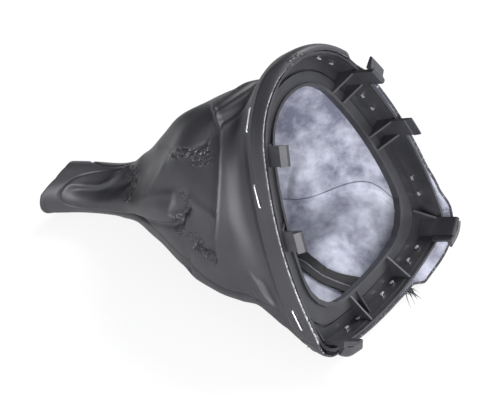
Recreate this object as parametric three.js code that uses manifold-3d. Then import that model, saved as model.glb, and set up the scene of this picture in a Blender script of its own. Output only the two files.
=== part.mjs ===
// Gear lever gaiter: a sewn leatherette boot stapled round a moulded clip frame.
// Millimetres, +Z up. It lies on its side: the frame stands on its wide edge and leans back
// against the boot, and the sleeve end of the boot rests on the table towards -X.
import * as THREE from 'three';
import { mergeVertices } from 'three/addons/utils/BufferGeometryUtils.js';
import Module from 'manifold-3d';

const wasm = await Module();
wasm.setup();

// Rim outline of the moulding: a shield of tangent arcs with a round nose and a wide side
const frameLength = 151;
const frameWidth = 129;
const noseRadius = 49;
const sideRadius = 208;
const wideRadius = 235;
const cornerRadius = 12.5;
const cornerSpread = 0.7;

// Section of the moulding: a dished channel with a raised lip round the opening
const channelDepth = 12;
const floorThickness = 2;
const wallDraft = 0.04;
const wallThickness = 2;
const rimThickness = 1.3;
const stepDepth = 3;
const shoulderRadius = 4;
const floorWidth = 6.5;
const grooveWidth = 1.2;
const grooveDepth = 0.8;
const ledgeWidth = 6.2;
const ledgeHeight = 1.2;
const lipWidth = 1.6;
const lipHeight = 2.4;

// Clips that snap behind the console panel, and the ribs that stiffen the channel
const clipWidth = 11;
const clipThickness = 2;
const clipInset = 2.2;
const cornerClipInset = 3.9;
const clipHeight = 12.5;
const shortClipHeight = 8;
const hookReach = 3.2;
const hookHeight = 4.5;
const ribThickness = 1.2;

// Places along the rim, measured from the middle of the nose
const nearUpperClip = 57;
const farUpperClip = 61;
const lowerClip = 103;
const cornerClipPastCorner = 11.26;
const nearStaples = [36, 77, 149];
const farStaples = [39, 82, 145];

// Places across the wide side: the outer staples from its ends, the ribs from the staples' legs
const farStapleFromEnd = 26.5;
const middleStaple = 8;
const nearStapleFromEnd = 36.5;
const farRibShare = 0.33;
const nearRibGap = 0.6;
const lowRibGap = 7;

// Ribs: how far their foot is let into the floor, wall and lip
const ribTopBelowRim = 0.8;
const ribSink = 0.8;
const ribOverlap = 0.4;
const lowRibTop = -6.5;

// Staples: flat wire, legs through leather and wall, tips clinched inside
const crownWidth = 12.8;
const wireWidth = 1.2;
const wireThickness = 0.6;
const staplesBelowRim = 9;
const tipLength = 2.4;
const wireClearance = 0.3;
const tipRoom = 0.8;

// Leatherette and the small gaps that keep the pieces apart
const leatherThickness = 1.2;
const seatGap = 0.3;
const seamGap = 0.3;
const leatherWrapDepth = 9.5;

// Pose: the rim leans back from upright
const leanAngle = THREE.MathUtils.degToRad(26.9);

// Sleeve that closes round the lever, lying on the table
const sleeveHalfWidth = 18.4;
const sleeveHalfHeight = 15;
const sleeveMiddleHeight = 16.2;

// Boot sections beyond the frame: x from the middle of the frame, y, then how far the middle's
// height, the width and the height have gone from the frame's (0) to the sleeve's (1), the tilt in
// degrees, and how round the shield outline has become
const bootSections = [
  { x: -33, y: -2.4, drop: 0.13, slim: 0.092, flat: 0.353, tilt: 22, round: 0.15 },
  { x: -55, y: -12.3, drop: 0.255, slim: 0.351, flat: 0.359, tilt: 15, round: 0.4 },
  { x: -77, y: -17.4, drop: 0.405, slim: 0.579, flat: 0.45, tilt: 10, round: 0.7 },
  { x: -100, y: -16.5, drop: 0.601, slim: 0.774, flat: 0.684, tilt: 6, round: 0.9 },
  { x: -120, y: -14.0, drop: 0.825, slim: 0.94, flat: 0.887, tilt: 3, round: 1 },
  { x: -140, y: -17.5, drop: 0.982, slim: 1.021, flat: 0.986, tilt: 0, round: 1 },
  { x: -170, y: -34.0, drop: 1, slim: 1, flat: 1, tilt: 0, round: 1 },
];
const rowsPerSection = 2;

// Seams, as angles round the boot: 0 is the far side (+Y), 90 the nose, 180 the near side
const nearPanelLower = 221;
const farPanelLower = -41;
const sleeveSeam = 99;
const neckSeam = 62;
const rimSeamPastStaple = 0.78;
const neckSeamX = -118;
const panelTipX = -160;
const panelShoulderX = -150;

// Facets
const noseFacets = 7;
const sideFacets = 8;
const cornerFacets = 5;
const wideFacets = 5;

const widestAt = frameLength - noseRadius
  - Math.sqrt((sideRadius - noseRadius) ** 2 - (sideRadius - frameWidth / 2) ** 2);
const noseCentre = new THREE.Vector2(frameLength - noseRadius, 0);
const sideCentre = new THREE.Vector2(widestAt, frameWidth / 2 - sideRadius);
const wideCentre = new THREE.Vector2(wideRadius, 0);
const frameMiddle = frameLength / 2;

// The corner arc's centre lies where two circles round the side's and the wide side's centres meet
function cornerCentre(inset, radius) {
  const a = sideRadius - inset - radius;
  const b = wideRadius - inset - radius;
  const gap = wideCentre.clone().sub(sideCentre);
  const distance = gap.length();
  const along = (a * a - b * b + distance * distance) / (2 * distance);
  const across = Math.sqrt(a * a - along * along);
  const axis = gap.normalize();
  const normal = new THREE.Vector2(-axis.y, axis.x);
  return sideCentre.clone().addScaledVector(axis, along).addScaledVector(normal, across);
}

// The four arcs of the far half, from the nose to the middle of the wide side. Inside the rim the
// corner grows rounder with the inset.
function rimArcs(inset) {
  const radius = cornerRadius + (inset > 0 ? cornerSpread : -1) * inset;
  const corner = cornerCentre(inset, radius);
  const noseEnd = Math.atan2(noseCentre.y - sideCentre.y, noseCentre.x - sideCentre.x);
  const sideEnd = Math.atan2(corner.y - sideCentre.y, corner.x - sideCentre.x);
  const cornerEnd = Math.atan2(corner.y - wideCentre.y, corner.x - wideCentre.x);
  return [
    { centre: noseCentre, radius: noseRadius - inset, from: 0, to: noseEnd, facets: noseFacets },
    { centre: sideCentre, radius: sideRadius - inset, from: noseEnd, to: sideEnd, facets: sideFacets },
    { centre: corner, radius, from: sideEnd, to: cornerEnd, facets: cornerFacets },
    { centre: wideCentre, radius: wideRadius - inset, from: cornerEnd, to: Math.PI, facets: wideFacets },
  ];
}

// Outline at an inset from the rim: x runs from the wide side to the nose, y across
function outline(inset) {
  const half = [];
  for (const arc of rimArcs(inset)) {
    for (let i = 0; i < arc.facets; i += 1) {
      const angle = THREE.MathUtils.lerp(arc.from, arc.to, i / arc.facets);
      const out = new THREE.Vector2(Math.cos(angle), Math.sin(angle));
      half.push(out.multiplyScalar(arc.radius).add(arc.centre));
    }
  }
  const wideMiddle = new THREE.Vector2(inset, 0);
  const mirrored = half.slice(1).reverse().map((p) => new THREE.Vector2(p.x, -p.y));
  return [...half, wideMiddle, ...mirrored];
}

// Point and outward direction at a distance along the rim from the nose, on the far side (+1)
// or the near side (-1)
function rimPlace(distance, side) {
  let left = distance;
  const arcs = rimArcs(0);
  for (const arc of arcs) {
    const length = arc.radius * (arc.to - arc.from);
    if (left <= length || arc === arcs[arcs.length - 1]) {
      const angle = arc.from + left / arc.radius;
      const out = new THREE.Vector2(Math.cos(angle), Math.sin(angle));
      const point = out.clone().multiplyScalar(arc.radius).add(arc.centre);
      out.y *= side;
      point.y *= side;
      return { point, out };
    }
    left -= length;
  }
  return null;
}

// Distance along the rim from the nose to the start of the corner
const [noseArc, sideArc] = rimArcs(0);
const cornerStart = noseArc.radius * noseArc.to + sideArc.radius * (sideArc.to - sideArc.from);
const cornerClip = cornerStart + cornerClipPastCorner;

// Point and outward direction on the wide side at a distance across from its middle
function widePlace(across) {
  const angle = Math.PI - Math.asin(across / wideRadius);
  const out = new THREE.Vector2(Math.cos(angle), Math.sin(angle));
  return { point: out.clone().multiplyScalar(wideRadius).add(wideCentre), out };
}

// Frame coordinates: x is height above the rim on the clip side, y across, z along the frame
function framePoint(along, across, height) {
  return new THREE.Vector3(height, across, along - frameMiddle);
}

// Closed geometry from a grid of points that closes on itself both ways
function ringGrid(rings) {
  const rows = rings.length;
  const count = rings[0].length;
  const position = rings.flat().flatMap((p) => [p.x, p.y, p.z]);
  const index = [];
  for (let r = 0; r < rows; r += 1) {
    const next = (r + 1) % rows;
    for (let i = 0; i < count; i += 1) {
      const j = (i + 1) % count;
      index.push(r * count + i, r * count + j, next * count + j);
      index.push(r * count + i, next * count + j, next * count + i);
    }
  }
  return indexed(position, index);
}

function indexed(position, index) {
  const geometry = new THREE.BufferGeometry();
  geometry.setAttribute('position', new THREE.Float32BufferAttribute(position, 3));
  geometry.setIndex(index);
  return geometry;
}

// Manifold solid from a closed geometry, turned so that its faces point out
function solid(geometry) {
  const plain = geometry.clone();
  plain.deleteAttribute('normal');
  plain.deleteAttribute('uv');
  const merged = mergeVertices(plain, 1e-4);
  const vertProperties = new Float32Array(merged.attributes.position.array);
  const triVerts = new Uint32Array(merged.index.array);
  if (signedVolume(vertProperties, triVerts) < 0) {
    for (let i = 0; i < triVerts.length; i += 3) {
      [triVerts[i], triVerts[i + 1]] = [triVerts[i + 1], triVerts[i]];
    }
  }
  return new wasm.Manifold(new wasm.Mesh({ numProp: 3, vertProperties, triVerts }));
}

function signedVolume(points, triangles) {
  const corner = [new THREE.Vector3(), new THREE.Vector3(), new THREE.Vector3()];
  let volume = 0;
  for (let i = 0; i < triangles.length; i += 3) {
    corner.forEach((c, k) => c.fromArray(points, triangles[i + k] * 3));
    volume += corner[0].dot(corner[1].cross(corner[2])) / 6;
  }
  return volume;
}

function geometryOf(manifold) {
  const mesh = manifold.getMesh();
  const geometry = new THREE.BufferGeometry();
  geometry.setAttribute('position', new THREE.BufferAttribute(mesh.vertProperties, 3));
  geometry.setIndex(new THREE.BufferAttribute(mesh.triVerts, 1));
  const flat = geometry.toNonIndexed();
  flat.computeVertexNormals();
  return flat;
}

// A profile drawn as (inset, height) and extruded along the rim's direction at a place on it
function edgeBlock(place, profile, width, shift = 0) {
  const shape = new THREE.Shape(profile.map(([inset, height]) => new THREE.Vector2(inset, height)));
  const geometry = new THREE.ExtrudeGeometry(shape, { depth: width, bevelEnabled: false });
  geometry.translate(0, 0, shift - width / 2);
  const inward = new THREE.Vector3(0, -place.out.y, -place.out.x);
  const up = new THREE.Vector3(1, 0, 0);
  const along = new THREE.Vector3().crossVectors(inward, up);
  const basis = new THREE.Matrix4().makeBasis(inward, up, along);
  basis.setPosition(framePoint(place.point.x, place.point.y, 0));
  return geometry.applyMatrix4(basis);
}

const shoulderInset = wallDraft * (channelDepth + floorThickness - shoulderRadius);
const wallFootInset = wallThickness + wallDraft * channelDepth;
const grooveInset = wallFootInset + floorWidth;
const ledgeInset = grooveInset + grooveWidth;
const lipOuterInset = ledgeInset + ledgeWidth;
const lipInset = lipOuterInset + lipWidth;

// Channel section as (inset, height) pairs, from the rim down the outside and back
function channelSection() {
  const bottom = -(channelDepth + floorThickness);
  const floor = -channelDepth;
  const bend = (degrees) => {
    const angle = THREE.MathUtils.degToRad(degrees);
    const centreInset = shoulderInset + shoulderRadius;
    return [centreInset - shoulderRadius * Math.cos(angle),
      bottom + shoulderRadius - shoulderRadius * Math.sin(angle)];
  };
  return [
    [0, 0],
    [shoulderInset, bottom + shoulderRadius],
    bend(30),
    bend(60),
    bend(90),
    [lipInset, bottom],
    [lipInset, floor + lipHeight],
    [lipOuterInset, floor + lipHeight],
    [lipOuterInset, floor + ledgeHeight],
    [ledgeInset, floor + ledgeHeight],
    [ledgeInset, floor - grooveDepth],
    [grooveInset, floor - grooveDepth],
    [grooveInset, floor],
    [wallFootInset, floor],
    [wallThickness + wallDraft * stepDepth, -stepDepth],
    [rimThickness + wallDraft * stepDepth, -stepDepth],
    [rimThickness, 0],
  ];
}

// Clip blade with its outward hook, following the wall's draft below the rim
function clipProfile(height, inset, hooked) {
  const foot = -(channelDepth - 0.4);
  const drift = -foot * wallDraft;
  const blade = [
    [inset + clipThickness + drift, foot],
    [inset + clipThickness, 0],
    [inset + clipThickness, height - 0.6],
    [inset + clipThickness - 0.5, height],
  ];
  const hook = [
    [inset - 0.4, height],
    [inset - hookReach, height - hookHeight * 0.55],
    [inset - hookReach, height - hookHeight * 0.75],
    [inset, height - hookHeight],
  ];
  const plain = [[inset, height]];
  return [...blade, ...(hooked ? hook : plain), [inset, 0], [inset + drift, foot]];
}

// Rib across the channel: its top edge falls from just under the rim to the lip
function ribProfile(outerInset, highest = -ribTopBelowRim) {
  const foot = -(channelDepth + ribSink);
  const lipTop = -channelDepth + lipHeight - ribSink;
  const innerInset = lipOuterInset + ribOverlap;
  return [
    [outerInset, highest],
    [innerInset, Math.min(lipTop, highest)],
    [innerInset, foot],
    [wallFootInset - ribOverlap, foot],
    [outerInset - ribOverlap, Math.min(-stepDepth, highest) + ribOverlap],
  ];
}

const clips = [
  { place: rimPlace(nearUpperClip, -1), height: clipHeight, inset: clipInset, hooked: true, ribs: [-1, 1] },
  { place: rimPlace(farUpperClip, 1), height: clipHeight, inset: clipInset, hooked: true, ribs: [-1, 1] },
  { place: rimPlace(lowerClip, -1), height: clipHeight, inset: clipInset, hooked: true, ribs: [-1, 1] },
  { place: rimPlace(lowerClip, 1), height: shortClipHeight, inset: clipInset, hooked: false, ribs: [-1, 1] },
  { place: rimPlace(cornerClip, -1), height: clipHeight, inset: cornerClipInset, hooked: true, ribs: [-1] },
  { place: rimPlace(cornerClip, 1), height: clipHeight, inset: cornerClipInset, hooked: true, ribs: [1] },
];

const baseStaples = [
  frameWidth / 2 - farStapleFromEnd,
  middleStaple,
  nearStapleFromEnd - frameWidth / 2,
];

const staples = [
  ...nearStaples.map((distance, i) => ({ name: `near_staple_${i + 1}`, place: rimPlace(distance, -1) })),
  ...farStaples.map((distance, i) => ({ name: `far_staple_${i + 1}`, place: rimPlace(distance, 1) })),
  ...baseStaples.map((across, i) => ({ name: `base_staple_${i + 1}`, place: widePlace(across) })),
];

// A box drawn square to the drafted wall: out from the wall's outer face, along the rim, and high
function wallBox(place, outFrom, outTo, along, width, height) {
  const centre = -staplesBelowRim;
  const drift = staplesBelowRim * wallDraft;
  const profile = [
    [drift - outTo, centre - height / 2],
    [drift - outFrom, centre - height / 2],
    [drift - outFrom, centre + height / 2],
    [drift - outTo, centre + height / 2],
  ];
  return edgeBlock(place, profile, width, along);
}

const leatherOut = seatGap + leatherThickness;
const crownUnder = leatherOut - wireThickness;
const legSpread = (crownWidth - wireThickness) / 2;
const tipOut = -(wallThickness + tipRoom);
const joint = 0.1;
const beyond = 2;

// One staple: crown, two legs and two tips bent towards each other on the inside of the wall
function stapleSolid(place) {
  let staple = solid(wallBox(place, crownUnder, leatherOut, 0, crownWidth, wireWidth));
  for (const end of [-1, 1]) {
    const shift = end * legSpread;
    const leg = wallBox(place, tipOut - wireThickness, crownUnder + joint, shift, wireThickness, wireWidth);
    const tipShift = end * (legSpread - tipLength / 2 + wireThickness / 2);
    const tip = wallBox(place, tipOut - wireThickness, tipOut, tipShift, tipLength, wireWidth);
    staple = staple.add(solid(leg)).add(solid(tip));
  }
  return staple;
}

function legHole(place, end) {
  const room = 2 * wireClearance;
  const shift = end * legSpread;
  return solid(wallBox(place, tipOut - beyond, crownUnder, shift, wireThickness + room, wireWidth + room));
}

// What a staple takes out of the leather: a dent for the crown and two leg holes
function staplePocket(place) {
  const room = 2 * wireClearance;
  const under = crownUnder - wireClearance;
  const dent = wallBox(place, under, leatherOut + beyond, 0, crownWidth + room, wireWidth + room);
  return solid(dent).add(legHole(place, -1)).add(legHole(place, 1));
}

const leanMatrix = new THREE.Matrix4().makeRotationY(-leanAngle);

function buildClipFrame() {
  const rings = channelSection().map(([inset, height]) => (
    outline(inset).map((p) => framePoint(p.x, p.y, height))));
  let body = solid(ringGrid(rings));
  for (const clip of clips) {
    const blade = clipProfile(clip.height, clip.inset, clip.hooked);
    body = body.add(solid(edgeBlock(clip.place, blade, clipWidth)));
    for (const end of clip.ribs) {
      const shift = end * (clipWidth / 2 - ribThickness / 2);
      body = body.add(solid(edgeBlock(clip.place, ribProfile(clip.inset + ribSink), ribThickness, shift)));
    }
  }
  const farLegs = [baseStaples[1] + crownWidth / 2, baseStaples[0] - crownWidth / 2];
  const farRib = THREE.MathUtils.lerp(farLegs[0], farLegs[1], farRibShare);
  const nearRib = baseStaples[2] + crownWidth / 2 + nearRibGap;
  const ribFace = rimThickness + ribOverlap;
  for (const across of [farRib, nearRib]) {
    body = body.add(solid(edgeBlock(widePlace(across), ribProfile(ribFace), ribThickness)));
  }
  const lowRib = ribProfile(ribFace, lowRibTop);
  body = body.add(solid(edgeBlock(widePlace(nearRib + lowRibGap), lowRib, ribThickness)));
  for (const staple of staples) {
    body = body.subtract(legHole(staple.place, -1)).subtract(legHole(staple.place, 1));
  }
  return body;
}

// Lowest point of the leather under the leaning frame, which sets the height of the table
const shield = outline(-leatherOut).map((p) => new THREE.Vector2(p.x - frameMiddle, p.y));
const wrapRows = [
  [-leatherOut, 0],
  [-leatherOut + wallDraft * leatherWrapDepth * 0.5, -leatherWrapDepth * 0.5],
  [-leatherOut + wallDraft * leatherWrapDepth, -leatherWrapDepth],
  [-leatherOut + wallDraft * (leatherWrapDepth + 3) + 0.2, -(leatherWrapDepth + 3)],
  [-leatherOut + wallDraft * (leatherWrapDepth + 6) + 1.9, -(leatherWrapDepth + 6.2)],
];
const wrapRings = wrapRows.map(([inset, height]) => (
  outline(inset).map((p) => framePoint(p.x, p.y, height).applyMatrix4(leanMatrix))));
const tableLevel = Math.min(...wrapRings.flat().map((p) => p.z));

// A section ring of the boot: the shield outline, blended towards an ellipse
function sectionRing(section) {
  const { lerp } = THREE.MathUtils;
  const tilt = THREE.MathUtils.degToRad(section.tilt);
  const up = new THREE.Vector3(-Math.sin(tilt), 0, Math.cos(tilt));
  const halfLength = frameLength / 2 + leatherOut;
  const halfAcross = frameWidth / 2 + leatherOut;
  const halfWidth = lerp(halfAcross, sleeveHalfWidth, section.slim);
  const halfHeight = lerp(halfLength, sleeveHalfHeight, section.flat);
  const height = lerp(-tableLevel, sleeveMiddleHeight, section.drop) + tableLevel;
  return shield.map((p) => {
    const square = new THREE.Vector2(p.x / halfLength, p.y / halfAcross);
    const unit = square.clone().lerp(square.clone().normalize(), section.round);
    return new THREE.Vector3(section.x, section.y + unit.y * halfWidth, height)
      .addScaledVector(up, unit.x * halfHeight);
  });
}

const bootRings = [...wrapRings, ...bootSections.map(sectionRing)];
const ringCount = shield.length;
const rowCount = (bootRings.length - 1) * rowsPerSection + 1;
const railCurves = shield.map((_, i) => (
  new THREE.CatmullRomCurve3(bootRings.map((ring) => ring[i]), false, 'centripetal')));

// Angle round the boot of each rail, clockwise from the nose
function railAngle(along, across) {
  const angle = THREE.MathUtils.radToDeg(Math.atan2(across / frameWidth, along / frameLength));
  return (angle + 360) % 360;
}

const railAngles = shield.map((p) => railAngle(p.x, p.y));

// Angle at which the upper seam meets the rim, just past the first far staple
const seamPlace = rimPlace(farStaples[0] + crownWidth / 2 + rimSeamPastStaple, 1).point;
const rimSeam = 90 - railAngle(seamPlace.x - frameMiddle, seamPlace.y);

// Point of the boot's outer surface: t runs from the rim (0) to the sleeve end (1)
function surfacePoint(t, degrees) {
  const turned = ((90 - degrees) % 360 + 360) % 360;
  let low = 0;
  while (low < ringCount - 1 && railAngles[low + 1] <= turned) low += 1;
  const next = low === ringCount - 1 ? 360 : railAngles[low + 1];
  const share = (turned - railAngles[low]) / (next - railAngles[low]);
  return railCurves[low].getPoint(t).lerp(railCurves[(low + 1) % ringCount].getPoint(t), share);
}

function outward(before, after, left, right) {
  return after.clone().sub(before).cross(right.clone().sub(left)).normalize();
}

function surfaceNormal(t, degrees) {
  const step = 0.004;
  const before = surfacePoint(Math.max(t - step, 0), degrees);
  const after = surfacePoint(Math.min(t + step, 1), degrees);
  return outward(before, after, surfacePoint(t, degrees + 3), surfacePoint(t, degrees - 3));
}

function bootShell() {
  const outer = Array.from({ length: rowCount }, (_, row) => (
    railCurves.map((curve) => curve.getPoint(row / (rowCount - 1)))));
  const inner = outer.map((ring, row) => ring.map((p, i) => {
    const before = outer[Math.max(row - 1, 0)][i];
    const after = outer[Math.min(row + 1, rowCount - 1)][i];
    const normal = outward(before, after, ring[(i + ringCount - 1) % ringCount], ring[(i + 1) % ringCount]);
    return p.clone().addScaledVector(normal, -leatherThickness);
  }));
  return solid(ringGrid([...outer, ...inner.reverse()]));
}

// Where along the boot its near side reaches a given x
function stationAt(x) {
  let low = 0;
  let high = 1;
  for (let i = 0; i < 20; i += 1) {
    const t = (low + high) / 2;
    if (surfacePoint(t, 180).x > x) low = t;
    else high = t;
  }
  return low;
}

// Upper seam of the near panel: from the far side of the nose, over the neck, to the sleeve
function upperSeam(x) {
  const along = THREE.MathUtils.clamp((x - neckSeamX) / (0 - neckSeamX), 0, 1);
  const cone = THREE.MathUtils.lerp(neckSeam, rimSeam, along);
  const sleeve = THREE.MathUtils.smoothstep(-x, -neckSeamX - 8, -neckSeamX + 16);
  return THREE.MathUtils.lerp(cone, sleeveSeam, sleeve);
}

// Angles of both edges of a side panel, drawn in to a round tip on the sleeve
function panelEdges(x, side) {
  const upper = side < 0 ? upperSeam(x) : Math.min(upperSeam(x), 180 - sleeveSeam);
  const lower = side < 0 ? nearPanelLower : farPanelLower;
  const middle = (upper + lower) / 2;
  const reach = THREE.MathUtils.clamp((panelShoulderX - x) / (panelShoulderX - panelTipX), 0, 1);
  const narrowing = Math.sqrt(Math.max(1 - reach * reach, 0.0004));
  return [middle + (upper - middle) * narrowing, middle + (lower - middle) * narrowing];
}

// A thick patch that covers one side panel, grown at its seams by a margin
function panelBlock(side, margin) {
  const columns = 16;
  const longRows = 18;
  const tipRows = 6;
  const layers = [2.5, -leatherThickness - 2.5];
  const shoulder = stationAt(panelShoulderX);
  const places = Array.from({ length: longRows }, (_, i) => (i / longRows) * shoulder);
  for (let i = 0; i < tipRows; i += 1) {
    const x = THREE.MathUtils.lerp(panelShoulderX, panelTipX, Math.sin((i / tipRows) * Math.PI / 2));
    places.push(stationAt(x));
  }
  const grow = (t, degrees) => {
    const width = surfacePoint(t, degrees).distanceTo(surfacePoint(t, degrees + 180));
    return THREE.MathUtils.radToDeg(margin / (width / 2));
  };
  const sections = places.map((t) => {
    const [upper, lower] = panelEdges(surfacePoint(t, 180).x, side);
    const turn = Math.sign(upper - lower);
    const from = upper + turn * grow(t, upper);
    const to = lower - turn * grow(t, lower);
    return layers.map((layer) => Array.from({ length: columns + 1 }, (_, c) => {
      const degrees = THREE.MathUtils.lerp(from, to, c / columns);
      return surfacePoint(t, degrees).addScaledVector(surfaceNormal(t, degrees), layer);
    }));
  });
  const overRim = (rows) => rows[0].map((layer, k) => layer.map((p, c) => (
    p.clone().multiplyScalar(2).sub(rows[1][k][c]))));
  const tip = sections[sections.length - 1].map((layer) => {
    const middle = layer[columns / 2];
    const step = new THREE.Vector3(-margin - 0.2, 0, 0);
    return layer.map((p) => p.clone().lerp(middle, 0.8).add(step));
  });
  const loops = [overRim(sections), ...sections, tip];
  return solid(loopedLoft(loops.map(([outer, inner]) => [...outer, ...inner.reverse()])));
}

// Loft through closed loops with flat fans at both ends
function loopedLoft(loops) {
  const count = loops[0].length;
  const position = loops.flat().flatMap((p) => [p.x, p.y, p.z]);
  const index = [];
  for (let r = 0; r + 1 < loops.length; r += 1) {
    for (let i = 0; i < count; i += 1) {
      const j = (i + 1) % count;
      index.push(r * count + i, r * count + j, (r + 1) * count + j);
      index.push(r * count + i, (r + 1) * count + j, (r + 1) * count + i);
    }
  }
  const half = count / 2;
  const top = (loops.length - 1) * count;
  for (let a = 0; a + 1 < half; a += 1) {
    const b = a + 1;
    const c = count - 2 - a;
    const d = count - 1 - a;
    index.push(a, c, b, a, d, c);
    index.push(top + a, top + b, top + c, top + a, top + c, top + d);
  }
  return indexed(position, index);
}

// Thin slit along the middle of the underside, where the base panel's two edges are sewn
function centreSlit() {
  const rows = 24;
  const outer = 2;
  const inner = -leatherThickness - 2;
  const half = new THREE.Vector3(0, seamGap / 2, 0);
  const loops = Array.from({ length: rows + 1 }, (_, row) => {
    const t = row / rows;
    const normal = surfaceNormal(t, 270);
    const middle = surfacePoint(t, 270);
    const at = (depth, sign) => middle.clone().addScaledVector(normal, depth).addScaledVector(half, sign);
    return [at(outer, -1), at(outer, 1), at(inner, 1), at(inner, -1)];
  });
  const beyond = (from, to) => from.map((p, c) => p.clone().multiplyScalar(2).sub(to[c]));
  const first = beyond(loops[0], loops[1]);
  const last = beyond(loops[rows], loops[rows - 1]);
  return solid(loopedLoft([first, ...loops, last]));
}

function buildLeather() {
  let shell = bootShell();
  for (const staple of staples) {
    shell = shell.subtract(staplePocket(staple.place).transform(leanMatrix.elements));
  }
  const near = shell.intersect(panelBlock(-1, -seamGap / 2));
  const far = shell.intersect(panelBlock(1, -seamGap / 2));
  const base = shell.subtract(panelBlock(-1, seamGap / 2)).subtract(panelBlock(1, seamGap / 2))
    .subtract(centreSlit());
  return { near_side_panel: near, far_side_panel: far, base_panel: base };
}

const framePlastic = { color: 0x2a2b2e, roughness: 0.5, metalness: 0 };
const leatherette = { color: 0x55555b, roughness: 0.45, metalness: 0 };
const stapleSteel = { color: 0xc9cdd2, roughness: 0.3, metalness: 1 };

function addPiece(parent, name, manifold, look) {
  const mesh = new THREE.Mesh(geometryOf(manifold), new THREE.MeshStandardMaterial(look));
  mesh.name = name;
  parent.add(mesh);
}

const gaiter = new THREE.Group();
const leaning = new THREE.Group();
leaning.rotation.y = -leanAngle;
gaiter.add(leaning);
addPiece(leaning, 'clip_frame', buildClipFrame(), framePlastic);
for (const staple of staples) addPiece(leaning, staple.name, stapleSolid(staple.place), stapleSteel);
for (const [name, panel] of Object.entries(buildLeather())) addPiece(gaiter, name, panel, leatherette);

// The origin is on the table, under the middle of the whole piece
gaiter.updateMatrixWorld(true);
const bounds = new THREE.Box3().setFromObject(gaiter, true);
const middle = bounds.getCenter(new THREE.Vector3());
gaiter.position.set(-middle.x, -middle.y, -bounds.min.z);

export default gaiter;
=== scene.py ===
import math
import bmesh
import bpy
import numpy as np
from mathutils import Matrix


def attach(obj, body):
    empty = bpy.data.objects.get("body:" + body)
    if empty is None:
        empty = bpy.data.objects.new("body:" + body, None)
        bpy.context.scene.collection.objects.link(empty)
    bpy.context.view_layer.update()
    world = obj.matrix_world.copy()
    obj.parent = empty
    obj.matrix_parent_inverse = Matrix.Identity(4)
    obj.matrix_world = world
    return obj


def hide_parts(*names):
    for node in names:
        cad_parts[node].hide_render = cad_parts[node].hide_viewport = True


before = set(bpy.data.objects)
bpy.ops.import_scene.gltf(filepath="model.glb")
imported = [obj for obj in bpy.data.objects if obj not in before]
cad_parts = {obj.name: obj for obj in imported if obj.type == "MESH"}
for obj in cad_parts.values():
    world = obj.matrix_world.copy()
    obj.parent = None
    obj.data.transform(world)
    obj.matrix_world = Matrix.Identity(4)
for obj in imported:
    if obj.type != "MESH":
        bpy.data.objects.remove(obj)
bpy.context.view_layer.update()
mm = 0.001
print("frame loaded")

# The moulding's rim: a shield of tangent arcs, round at the nose and wide at the other end
rim = dict(
    length=151.0,
    width=129.0,
    noseRadius=49.0,
    sideRadius=208.0,
    wideRadius=235.0,
    cornerRadius=12.5,
    arcPoints=(44, 60, 26, 34),
    leanDeg=26.9,
    middle=(64.436, 0.0, 75.038),
)


def rimArcs():
    # Centre, radius and the two end angles of each arc of the far half, from the nose to the wide side. The
    # side's circle touches the nose's, and the corner's touches the side's and the wide side's
    half = rim["width"] / 2
    reach = rim["sideRadius"] - rim["noseRadius"]
    nose = np.array([rim["length"] - rim["noseRadius"], 0.0])
    sideAlong = nose[0] - math.sqrt(reach**2 - (rim["sideRadius"] - half) ** 2)
    side = np.array([sideAlong, half - rim["sideRadius"]])
    wide = np.array([rim["wideRadius"], 0.0])
    a = rim["sideRadius"] - rim["cornerRadius"]
    b = rim["wideRadius"] - rim["cornerRadius"]
    gap = wide - side
    distance = np.linalg.norm(gap)
    along = (a * a - b * b + distance**2) / (2 * distance)
    axis = gap / distance
    normal = np.array([-axis[1], axis[0]])
    corner = side + axis * along + normal * math.sqrt(a * a - along**2)
    turn = lambda p, q: math.atan2(p[1] - q[1], p[0] - q[0])
    noseEnd, sideEnd, cornerEnd = turn(nose, side), turn(corner, side), turn(corner, wide)
    return [
        (nose, rim["noseRadius"], 0.0, noseEnd),
        (side, rim["sideRadius"], noseEnd, sideEnd),
        (corner, rim["cornerRadius"], sideEnd, cornerEnd),
        (wide, rim["wideRadius"], cornerEnd, math.pi),
    ]


def rimRing():
    # Points of the rim outline (u along the frame, v across), their outward directions and their distance
    # along the rim from the middle of the nose, over the far side and back over the near side
    points, outs, runs, run = [], [], [], 0.0
    for (centre, radius, start, end), count in zip(rimArcs(), rim["arcPoints"]):
        angle = np.linspace(start, end, count, endpoint=False)
        out = np.stack([np.cos(angle), np.sin(angle)], 1)
        points.append(centre + radius * out)
        outs.append(out)
        runs.append(run + radius * (angle - start))
        run += radius * (end - start)
    points, outs, runs = np.concatenate(points), np.concatenate(outs), np.concatenate(runs)
    mirror = np.array([1.0, -1.0])
    return (
        np.concatenate([points, [[0.0, 0.0]], points[::-1] * mirror]),
        np.concatenate([outs, [[-1.0, 0.0]], outs[::-1] * mirror]),
        np.concatenate([runs, [run], 2 * run - runs[::-1]]),
    )


def frameAxes():
    # Directions up the leaning frame, across it, and out of it on the clip side
    lean = math.radians(rim["leanDeg"])
    up = np.array([-math.sin(lean), 0.0, math.cos(lean)])
    out = np.array([math.cos(lean), 0.0, math.sin(lean)])
    return up, np.array([0.0, 1.0, 0.0]), out


def framePoint(u, v, w):
    # Row-frame point, in millimetres, of places u up the frame, v across it and w out of it
    up, across, out = frameAxes()
    u, v, w = (np.asarray(x, float)[..., None] for x in (u, v, w))
    return np.array(rim["middle"]) + (u - rim["length"] / 2) * up + v * across + w * out


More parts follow.
